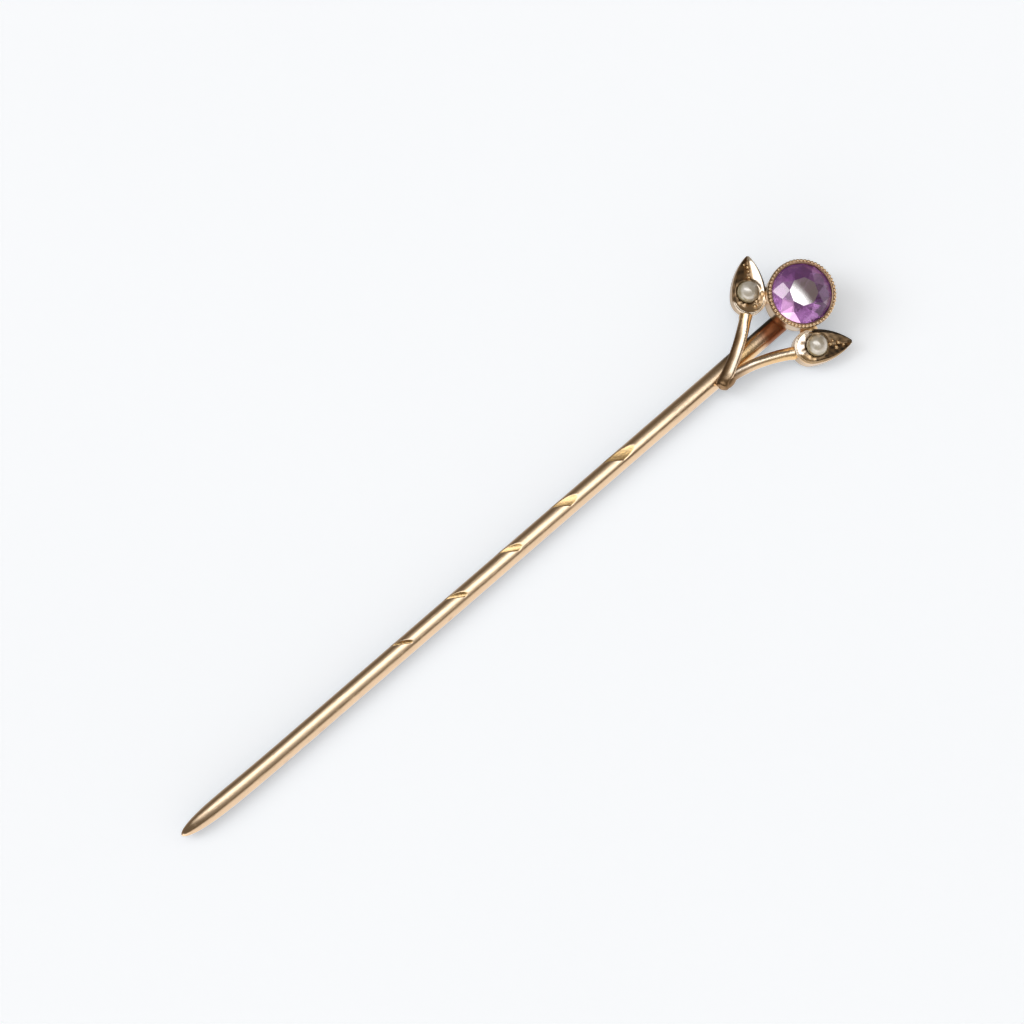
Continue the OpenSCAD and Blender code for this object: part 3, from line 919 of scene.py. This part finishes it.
# Steps across a leaf from its outline inwards: share of the way to the spine, height below
# the border's top in millimetres
LEAF_STEPS = [(0.0, -0.07), (0.02, -0.04), (0.065, -0.025), (0.08, -0.055), (0.095, -0.015),
              (0.14, 0.0), (0.165, -0.03), (0.185, -0.06), (0.20, -0.065), (0.32, -0.09),
              (0.46, -0.125), (0.60, -0.16), (0.74, -0.20), (0.88, -0.235)]
# How much of a leaf's tip is blunt
TIP_BLUNT = 0.10


def cut_drop(side, along, across, share, drop):
    """Height of a bright cut below the border: shallow on the sides that catch the light."""
    if share < 0.18:
        return drop
    if side > 0 and across < 0 and along > -0.2:
        return drop * 0.55
    if side < 0 and along < 0.1 and across < 0.45:
        return min(-0.02, -0.05 + 0.16 * (along + 0.55))
    return drop


def leaf_marks_and_shade(side, along, across, share):
    """Film, filing and soot at one place of a leaf. Along runs to the tip, across outwards."""
    blade = along > 0.15
    outer = across > 0
    tarnish, filed, soot = 0.30, 0.35, 0.0
    if side > 0:
        # Left leaf: the dark outer band is partly a painted dark reflection
        if outer and along > -0.35:
            tarnish = 0.9
            soot = 0.6 + 0.25 * math.sin(11 * along + 3 * across) if share > 0.02 else 0.15
        elif blade:
            tarnish, filed = 0.0, 0.0
            # Painted shade: a dark line along the blade's inner border
            soot = 1.0 if share < 0.1 else 0.0
        elif share > 0.19:
            tarnish, soot = 0.5, 0.15
        else:
            # Painted shade in the groove of the border
            tarnish, filed, soot = 0.0, 0.1, 0.8 if share == 0.08 else 0.0
        if share > 0.72:
            tarnish, soot = 0.8, 0.2
    else:
        patch = 0.4 * math.sin(9 * along + 4 * across) * math.sin(13 * across - 5 * along)
        if blade and outer and share > 0.1:
            tarnish, soot = 0.8, 0.7 + patch
        elif blade and not outer:
            tarnish, soot = (0.6, 1.0) if share < 0.19 else (0.6, 0.45 + patch)
        elif across < 0.45:
            tarnish, filed = 0.0, 0.25
        elif share > 0.19:
            tarnish, filed = 0.55, 0.6
    return tarnish, filed, soot


def build_leaf(side):
    leaf, pearl = sizes("leaf"), sizes("pearl")
    _, _, shift, thick = leaf_facts(side)
    radius, reach = leaf.width / 2, leaf.reach - leaf.width / 2
    edge = leaf_outline(radius, reach)
    edge[:, 0] = np.minimum(edge[:, 0], reach - TIP_BLUNT)
    count = len(edge)
    top = leaf.back + thick
    # The spine that the inner slopes run to: a line from the round end's centre to the tip
    spine = np.column_stack([np.clip(edge[:, 0], -0.1, reach - 0.4), np.zeros(count)])
    points, marks = [], {"tarnish": [], "filed": [], "soot": [], "bright": []}

    def put(x, y, z, tarnish, filed, soot):
        points.append([x, y, z])
        # Painted highlight: the clean top facets take the paler bright-cut gold
        clean = 1.0 if tarnish == 0 and soot == 0 and z > top - 0.2 else 0.0
        for mark, value in zip(marks, (tarnish, filed, soot, clean)):
            marks[mark].append(value)

    for scale, z in ((0.93, leaf.back), (0.985, leaf.back + 0.03), (1.0, leaf.back + 0.12),
                     (1.0, leaf.back + thick * 0.55), (1.0, top - 0.14)):
        for x, y in edge * scale:
            put(x, y, z, 0.1, 0.3, 0.0)
    for share, drop in LEAF_STEPS:
        for x, y in edge + (spine - edge) * share:
            put(x, y, top + cut_drop(side, x, y, share, drop), *leaf_marks_and_shade(side, x, y, share))
    rings = len(points) // count
    faces = tube_faces(rings, count)
    base = (rings - 1) * count
    spine_at = len(points)
    for x, _ in spine:
        put(x, 0, top - 0.255, 0.8, 0.4, 0.3)
    for j in range(count):
        k = (j + 1) % count
        faces.append((base + j, base + k, spine_at + k, spine_at + j))
    put(0.6, 0, leaf.back, 0.3, 0.2, 0)
    faces += [(len(points) - 1, (j + 1) % count, j) for j in range(count)]
    points = np.array(points, float)
    marks = {mark: np.array(values, float) for mark, values in marks.items()}
    points[:, 0] -= pearl.fore
    points[:, 1] += shift
    # The pearl's seat is a bowl just wider than the pearl, with a raised collar round it
    seat = np.linalg.norm(points[:, :2], axis=1)
    bowl_r = pearl.diameter / 2 + 0.005
    over = points[:, 2] > leaf.back + thick * 0.6
    bowl = top + pearl.rise - np.sqrt(np.clip(bowl_r ** 2 - seat ** 2, 0, None))
    inside = (seat < bowl_r) & over
    points[:, 2] = np.where(inside, np.minimum(points[:, 2], bowl), points[:, 2])
    collar = smooth_step(1 - np.abs(seat - bowl_r - 0.03) / 0.12) * (over & ~inside)
    lifted = np.minimum(points[:, 2] + 0.3 * collar, np.maximum(points[:, 2], top + 0.04))
    points[:, 2] = lifted
    rubbed = np.maximum(marks["tarnish"] * (1 - collar), 0.45 * collar)
    marks["tarnish"] = np.where(inside, 0.9, rubbed)
    marks["soot"] = np.where(inside, 0.5, marks["soot"] * (1 - 0.6 * collar))
    for x, y, size in LEFT_GRAINS if side > 0 else RIGHT_GRAINS:
        pit = smooth_step(1.5 - np.hypot(points[:, 0] - x, points[:, 1] - y) / size) * over
        marks["tarnish"] = np.maximum(marks["tarnish"], 0.9 * pit)
        marks["soot"] = np.maximum(marks["soot"], 0.45 * pit)
    name = "left_leaf" if side > 0 else "right_leaf"
    material = gold_finish("rose_gold_" + name, rub=(0.3, 1.0, 1.0), roughness=0.17)
    piece(name, on_leaf(points, side), faces, material, marks=marks)


# Grains of each leaf: distance from the pearl towards the tip and to the outer side, radius
LEFT_GRAINS = [(1.02, -0.18, 0.155), (1.42, -0.16, 0.12), (1.72, -0.12, 0.15),
               (1.88, 0.15, 0.10), (-0.95, -0.50, 0.16), (-0.85, -0.80, 0.11), (0.82, 0.22, 0.09)]
RIGHT_GRAINS = [(0.97, -0.02, 0.15), (1.35, 0.26, 0.15), (1.56, -0.05, 0.14),
                (1.88, 0.13, 0.11), (-0.92, -0.30, 0.12), (-0.92, 0.16, 0.12), (1.18, -0.22, 0.09)]


def grain_tree():
    tree, source, sink = repeat_tree("leaf_grains", [
        ("Detail", "NodeSocketInt", 3),
        ("Seed", "NodeSocketInt", 7), ("Material", "NodeSocketMaterial", None)])
    ball = add(tree, "GeometryNodeMeshIcoSphere", Subdivisions=source.outputs["Detail"], Radius=1.0)
    size = add(tree, "GeometryNodeInputNamedAttribute", {"data_type": "FLOAT"}, Name="size")
    factor = add(tree, "FunctionNodeRandomValue", {"data_type": "FLOAT_VECTOR"},
                 Seed=source.outputs["Seed"])
    vectors = [s for s in factor.inputs if s.type == "VECTOR"]
    vectors[0].default_value = (0.92, 0.92, 0.92)
    vectors[1].default_value = (1.08, 1.08, 1.0)
    random_out = [s for s in factor.outputs if s.type == "VECTOR"][0]
    scaled = add(tree, "ShaderNodeVectorMath", {"operation": "SCALE"})
    tree.links.new(random_out, scaled.inputs[0])
    tree.links.new([s for s in size.outputs if s.type == "VALUE"][0], scaled.inputs["Scale"])
    scatter(tree, source, sink, source.outputs["Geometry"], ball.outputs["Mesh"],
            scaled.outputs[0])
    return tree


def build_grains():
    leaf = sizes("leaf")
    tree = grain_tree()
    material = gold_finish("rose_gold_grains", roughness=0.16, bump=0.7)
    for side, grains in ((1, LEFT_GRAINS), (-1, RIGHT_GRAINS)):
        thick = leaf_facts(side)[3]
        start = bpy.data.meshes.new("grain_spots")
        start.from_pydata([(x, y, leaf.back + thick - 0.16) for x, y, _ in grains], [], [])
        start.attributes.new("size", "FLOAT", "POINT").data.foreach_set(
            "value", [r for _, _, r in grains])
        name = "left_grains" if side > 0 else "right_grains"
        obj = grown(name, tree, {"Detail": 3, "Seed": 7, "Material": material}, start)
        settle(obj, lambda local, side=side: on_leaf(local, side),
               {"tarnish": 0.12, "filed": 0.6})


def blob(name, middle, radii, turn, material, marks, seed, lump=0.05):
    """A rounded lump of solder."""
    work = bmesh.new()
    bmesh.ops.create_icosphere(work, subdivisions=4, radius=1.0)
    points, faces = taken(work)
    wave = np.array([grain_noise(p, 1.6, seed) for p in points])
    points *= (1 + lump * wave)[:, None]
    points *= radii
    points[:, 0], points[:, 1] = turned(points[:, 0], points[:, 1], turn)
    piece(name, on_head(points + middle), faces, material,
          marks={k: np.full(len(points), v) for k, v in marks.items()})


def build_solder():
    """The solder between each leaf and the collet, and where the arms meet the leaves."""
    leaf, collet = sizes("leaf"), sizes("collet")
    material = gold_finish("solder", roughness=0.22)
    for side, name in ((1, "left_solder"), (-1, "right_solder")):
        thick = leaf_facts(side)[3]
        spot = leaf_point([[0.0, 0.0, 0.0]], side)[0]
        reach = collet.rim_radius / np.linalg.norm(spot[:2])
        middle = [spot[0] * reach, spot[1] * reach, leaf.back + thick * 0.5]
        turn = math.atan2(spot[1], spot[0])
        blob(name, middle, [0.48, 0.62, thick * 0.5], turn, material,
             {"tarnish": 0.15, "filed": 0.7}, 3.0 * side)
        end = arm_path(side)[-3]
        blob(name + "_arm", [end[0], end[1], end[2] - 0.05], [0.45, 0.40, 0.36],
             turn, material, {"tarnish": 0.1, "filed": 0.9}, 5.0 * side)


# Pearls and stone

def build_pearls():
    leaf, pearl = sizes("leaf"), sizes("pearl")
    material = pearl_finish()
    for side, node in ((1, "pearl_left"), (-1, "pearl_right")):
        thick = leaf_facts(side)[3]
        work = bmesh.new()
        bmesh.ops.create_uvsphere(work, u_segments=72, v_segments=48, radius=1.0)
        points, faces = taken(work)
        wave = np.array([grain_noise(p, 1.1, 2.0 + side) + 0.4 * grain_noise(p, 2.6, side)
                         for p in points])
        points *= (pearl.diameter / 2 * (0.985 + 0.022 * wave))[:, None]
        height = points[:, 2] / (pearl.diameter / 2)
        # The lower part of each pearl, near the seat, gets painted shade and gold reflection
        edge = smooth_step((0.72 - height) / 0.30)
        points[:, 2] = np.where(points[:, 2] > 0, points[:, 2] * 0.96, points[:, 2])
        points += [0, 0, leaf.back + thick + pearl.rise]
        piece(node + "_nacre", on_leaf(points, side), faces, material,
              node=node, marks={"edge": edge})


# How much the table falls away from its middle, per square millimetre
TABLE_DOME = 0.09


def build_amethyst():
    """The cut stone: table, stars, kites, upper and lower halves and pavilion mains."""
    stone = sizes("stone")
    fold, r, table = 8, stone.diameter / 2, stone.table / 2
    half_girdle = 0.03
    star_r = (r + table) / 2
    step = math.pi / fold

    def corners(count, radius, height, turn):
        return [(radius * math.cos(turn + 2 * math.pi * i / count),
                 radius * math.sin(turn + 2 * math.pi * i / count), height) for i in range(count)]

    def main_height(radius, rise, top):
        return rise * (r - radius * math.cos(step)) / (r - top)

    keel = r * 0.28
    points = (corners(fold, table, stone.crown + half_girdle, 0)
              + corners(fold, star_r, main_height(star_r, stone.crown, table) + half_girdle, step)
              + corners(2 * fold, r, half_girdle, 0) + corners(2 * fold, r, -half_girdle, 0)
              + corners(fold, keel, -half_girdle - main_height(keel, stone.pavilion, 0), step)
              + [(0, 0, -half_girdle - stone.pavilion)])
    work = bmesh.new()
    verts = [work.verts.new(p) for p in points]
    bmesh.ops.convex_hull(work, input=verts)
    bmesh.ops.dissolve_limit(work, angle_limit=math.radians(0.6), verts=work.verts,
                             edges=work.edges)
    bmesh.ops.triangulate(work, faces=work.faces)
    work.verts.index_update()
    flat, faces = taken(work)
    flat[:, 0], flat[:, 1] = turned(flat[:, 0], flat[:, 1], stone.turn)
    flat[:, 2] += stone.girdle
    top = stone.girdle + half_girdle + stone.crown
    middle = on_head([[0, 0, top]])[0]
    stone_piece = piece("cut_stone", on_head(flat), faces, amethyst_finish(middle),
                        node="amethyst", smooth=False)
    mark_facets(stone_piece.data, middle)


# Facets with painted light: direction from the stone's middle in degrees, half the width in
# degrees, nearest and farthest distance as shares of the radius, painted light, mirror
FACET_GLINTS = [(176, 8, 0.60, 1.0, 0.3, 0.05), (192, 10, 0.55, 1.0, 0.95, 0.1),
               (212, 8, 0.75, 1.0, 0.75, 0.1), (136, 20, 0.5, 0.85, 0.12, 0.2),
               (-86, 9, 0.80, 1.0, 0.5, 0.1), (-60, 8, 0.6, 1.0, 0.1, 0.1)]
FACET_MIRROR, TABLE_MIRROR = 0.02, 0.72


def mark_facets(mesh, table_middle):
    """Marks the table, and gives each facet of the crown its tone, shade and mirror."""
    stone = sizes("stone")
    marks = {"table": [], "tone": [], "shade": [], "mirror": []}
    for face in mesh.polygons:
        away = np.array(face.center) / MM - table_middle
        table = float(abs(away @ on_head_up()) < 0.005)
        direction = math.degrees(math.atan2(away[1], away[0]))
        reach = math.hypot(away[0], away[1]) / (stone.diameter / 2)
        tone, mirror = 0.0, FACET_MIRROR
        for middle, half, near, far, light, gloss in FACET_GLINTS:
            gap = abs((direction - middle + 180) % 360 - 180)
            if gap < half and near < reach < far:
                tone, mirror = light, gloss
        marks["table"].append(table)
        marks["tone"].append(0.0 if table else tone)
        marks["mirror"].append(TABLE_MIRROR if table else mirror)
        # Painted shade: the lower facets and those near the girdle are darker, varying from facet
        # to facet
        lower = smooth_step((math.cos(math.radians(direction + 95)) + 0.1) / 0.5)
        cast = 0.35 * abs(math.sin(7 * direction)) + 0.85 * float(lower) + 0.2 * (reach > 0.72)
        marks["shade"].append(0.0 if table or tone > 0.5 else min(1.0, cast))
    for name, values in marks.items():
        mesh.attributes.new(name, "FLOAT", "FACE").data.foreach_set("value", values)


def on_head_up():
    """The head's upward direction in the row frame."""
    return np.array([0.0, -math.sin(ROLL), math.cos(ROLL)])


# The stage

CAMERA_TURN, CAMERA_RISE = math.radians(-42.55), math.radians(69.7)
CAMERA_FAR, CAMERA_FOCAL = 262.0, 3975.0
CAMERA_TARGET = (2.1705, 2.2998, 0.0)
IMAGE_WIDTH, SENSOR = 1024, 36.0


def build_camera():
    data = bpy.data.cameras.new("camera")
    data.sensor_width = SENSOR
    data.lens = CAMERA_FOCAL * SENSOR / IMAGE_WIDTH
    data.clip_start, data.clip_end = 0.01, 10.0
    back = Vector((math.sin(CAMERA_TURN) * math.cos(CAMERA_RISE),
                   -math.cos(CAMERA_TURN) * math.cos(CAMERA_RISE), math.sin(CAMERA_RISE)))
    camera = bpy.data.objects.new("camera", data)
    bpy.context.scene.collection.objects.link(camera)
    camera.location = (Vector(CAMERA_TARGET) + back * CAMERA_FAR) * MM
    camera.rotation_euler = (-back).to_track_quat("-Z", "Y").to_euler()
    bpy.context.scene.camera = camera


# The surface is a light table: it glows a little, which keeps the shadows pale
SURFACE_GLOW = 0.42


def build_floor():
    mesh = bpy.data.meshes.new("surface")
    half = 1.5
    mesh.from_pydata([(-half, -half, 0), (half, -half, 0), (half, half, 0), (-half, half, 0)], [],
                     [(0, 1, 2, 3)])
    made = bpy.data.materials.new("white_surface")
    bench = Bench(made)
    soft = bench.cloud(bench.place(), 0.02, 2.0, 0.5)
    base = bench.blend(soft.step(0.3, 0.7), finish("surface"), tinted(finish("surface"), 0.99))
    bench.finish(bench.node("ShaderNodeBsdfPrincipled", {}, {
        "Base Color": base, "Roughness": 0.8, "Specular IOR Level": 0.1,
        "Emission Color": (*finish("surface"), 1.0), "Emission Strength": SURFACE_GLOW}))
    mesh.materials.append(made)
    floor = bpy.data.objects.new("surface", mesh)
    bpy.context.scene.collection.objects.link(floor)
    floor.visible_glossy = False


def build_room():
    """The room that the gold mirrors: dark behind, pale in front and below, by direction."""
    world = bpy.data.worlds.new("room")
    bpy.context.scene.world = world
    bench = Bench(world)
    toward = bench.node("ShaderNodeTexCoord", output="Generated")
    x, y, z = (bench.node("ShaderNodeSeparateXYZ", {}, {0: toward}, output=axis)
               for axis in range(3))
    front = y.step(0.30, -0.30)
    low = z.step(0.60, 0.05)
    under = z.step(0.05, -0.75)
    left = x.step(-0.30, -0.80)
    pale = front * low * 0.71 + left * y.step(0.55, 0.0) * 0.5 + (1 - front) * under * 0.4
    dark = 0.17 + front * 0.16
    shade = bench.node("ShaderNodeBackground", {}, {
        "Color": bench.node("ShaderNodeCombineColor", {}, {
            0: pale + dark, 1: pale + dark * 0.80, 2: pale + dark * 0.62}),
        "Strength": 1.0})
    bench.finish(shade, "ShaderNodeOutputWorld")


# The soft box over the pin, as the gold mirrors it, in millimetres: its height, the middle and
# direction of its bright band, the widths of the band's core and of its faint skirt, how strong
# the skirt is, and where the band ends at either side
BOX_HIGH = 100.0
BAND_MIDDLE = (15.0, 3.0)
BAND_TURN = math.radians(-49)
BAND_CORE, BAND_SKIRT, SKIRT_SHARE = 29.0, 80.0, 0.17
BAND_ENDS = [(-60.0, -10.0), (66.0, 39.0)]
BOX_LIGHT = 2.3
BOX_COLOUR, BOX_DIM = (1.0, 0.99, 0.975), (0.07, 0.058, 0.045)
BOX_HALF, BOX_STEPS = 210.0, 84


def build_soft_box():
    """A glowing panel with soft edges, which only mirrors and clear stones see."""
    steps = BOX_STEPS
    line = np.linspace(-BOX_HALF, BOX_HALF, steps)
    points = np.array([(x, y, BOX_HIGH) for y in line for x in line])
    faces = [(j * steps + i, j * steps + i + 1, (j + 1) * steps + i + 1, (j + 1) * steps + i)
             for j in range(steps - 1) for i in range(steps - 1)]
    away = points[:, :2] - BAND_MIDDLE
    across = away @ np.array([-math.sin(BAND_TURN), math.cos(BAND_TURN)])
    glow = ((1 - SKIRT_SHARE) * np.exp(-(across / BAND_CORE) ** 2)
            + SKIRT_SHARE * np.exp(-(across / BAND_SKIRT) ** 2))
    for dark, bright in BAND_ENDS:
        glow *= smooth_step((points[:, 0] - dark) / (bright - dark))
    mesh = bpy.data.meshes.new("soft_box")
    mesh.from_pydata([tuple(p) for p in points * MM], [], faces)
    mesh.attributes.new("glow", "FLOAT", "POINT").data.foreach_set("value", glow.astype(np.float32))
    made = bpy.data.materials.new("soft_box")
    bench = Bench(made)
    bench.finish(bench.node("ShaderNodeEmission", {}, {
        "Color": bench.blend(bench.mark("glow"), BOX_DIM, BOX_COLOUR),
        "Strength": BOX_LIGHT}))
    mesh.materials.append(made)
    box = bpy.data.objects.new("soft_box", mesh)
    bpy.context.scene.collection.objects.link(box)
    box.visible_camera = False
    box.visible_diffuse = False
    box.visible_shadow = False


# Two windows: energy, angle in degrees and the direction the light comes from
WINDOWS = [(0.5, 50, (-0.2, 0.15, 1.0)), (0.95, 36, (-0.9, 0.8, 1.0))]


def build_lamps():
    for number, (energy, spread, toward) in enumerate(WINDOWS):
        lamp = bpy.data.lights.new("window_%d" % number, "SUN")
        lamp.energy = energy
        lamp.angle = math.radians(spread)
        obj = bpy.data.objects.new(lamp.name, lamp)
        bpy.context.scene.collection.objects.link(obj)
        obj.rotation_euler = (-Vector(toward)).to_track_quat("-Z", "Y").to_euler()
        obj.visible_glossy = False
        obj.visible_transmission = False


def set_look():
    scene = bpy.context.scene
    scene.view_settings.view_transform = "Standard"
    scene.view_settings.look = "None"
    scene.view_settings.exposure = 0.0
    scene.cycles.use_denoising = True
    scene.cycles.max_bounces = 12
    scene.cycles.transmission_bounces = 10
    scene.cycles.glossy_bounces = 6
    scene.cycles.caustics_reflective = False
    scene.cycles.caustics_refractive = False
    scene.cycles.sample_clamp_indirect = 6.0


# Operators and panel

def step_operator(id_name, label, text, work):
    """An operator that builds one group of pieces."""
    def execute(self, context):
        work()
        return {"FINISHED"}
    return type("STICKPIN_OT_" + id_name, (bpy.types.Operator,), {
        "__doc__": text, "bl_idname": "stickpin." + id_name, "bl_label": label,
        "execute": execute})


def build_leaves():
    for side in (1, -1):
        build_leaf(side)


def build_stage():
    build_camera()
    build_floor()
    build_room()
    build_soft_box()
    build_lamps()
    set_look()


OPERATORS = [
    step_operator("stem", "Stem", "Build the stem with its point and grip scoops", build_stem),
    step_operator("stalk", "Forked stalk", "Build the foot and the two arms", build_stalk),
    step_operator("collet", "Collet", "Build the collet's wall and lip", build_collet),
    step_operator("millegrain", "Millegrain", "Grow the beads along the rim", build_millegrain),
    step_operator("leaves", "Leaves", "Build the two leaf settings", build_leaves),
    step_operator("grains", "Grains", "Grow the grains of the leaves", build_grains),
    step_operator("solder", "Solder", "Build the solder joints", build_solder),
    step_operator("pearls", "Pearls", "Build the two seed pearls", build_pearls),
    step_operator("amethyst", "Amethyst", "Build the cut stone", build_amethyst),
    step_operator("stage", "Stage", "Build the surface, lights and camera", build_stage),
]


class STICKPIN_PT_panel(bpy.types.Panel):
    """Lists the steps that build the stick pin"""
    bl_idname = "STICKPIN_PT_panel"
    bl_label = "Stick pin"
    bl_space_type = "VIEW_3D"
    bl_region_type = "UI"
    bl_category = "Stick pin"

    def draw(self, context):
        for operator in OPERATORS:
            self.layout.operator(operator.bl_idname)


CLASSES = [*SIZE_GROUPS.values(), PinSettings, *OPERATORS, STICKPIN_PT_panel]


def register():
    for item in CLASSES:
        bpy.utils.register_class(item)
    bpy.types.Scene.stick_pin = PointerProperty(type=PinSettings)


def unregister():
    del bpy.types.Scene.stick_pin
    for item in reversed(CLASSES):
        bpy.utils.unregister_class(item)


def main():
    register()
    for operator in OPERATORS:
        name = operator.bl_idname.split(".")[1]
        getattr(bpy.ops.stickpin, name)()


if __name__ == "__main__":
    main()
